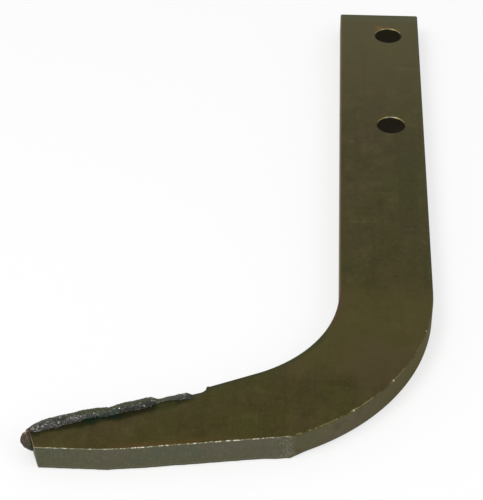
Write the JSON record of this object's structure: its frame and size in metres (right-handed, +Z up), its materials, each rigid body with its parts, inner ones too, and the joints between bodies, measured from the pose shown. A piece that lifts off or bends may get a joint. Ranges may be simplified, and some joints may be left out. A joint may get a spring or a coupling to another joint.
{
  "type": "ridger tine",
  "caption": "Flat steel bar bent on edge into a hook, with bolt holes in its straight shank and a hard weld bead on the foot's leading edge.",
  "frame": {"origin": "midway between the two bolt holes' axes, on the underside of the shank", "axes": "+Y along the shank towards its end, -X towards the tip of the foot, +Z up through the bar's thickness to the face that carries the weld"},
  "size_m": [0.2047, 0.403, 0.0159],
  "materials": {
    "bar_steel": "dark olive-brown mill scale under an oily film, faintly mottled, satin",
    "weld_metal": "rough grey weld metal with small bright points"
  },
  "bodies": {
    "root": {"tine_bar": "bar_steel", "hardfacing_bead": "weld_metal"}
  },
  "joints": []
}
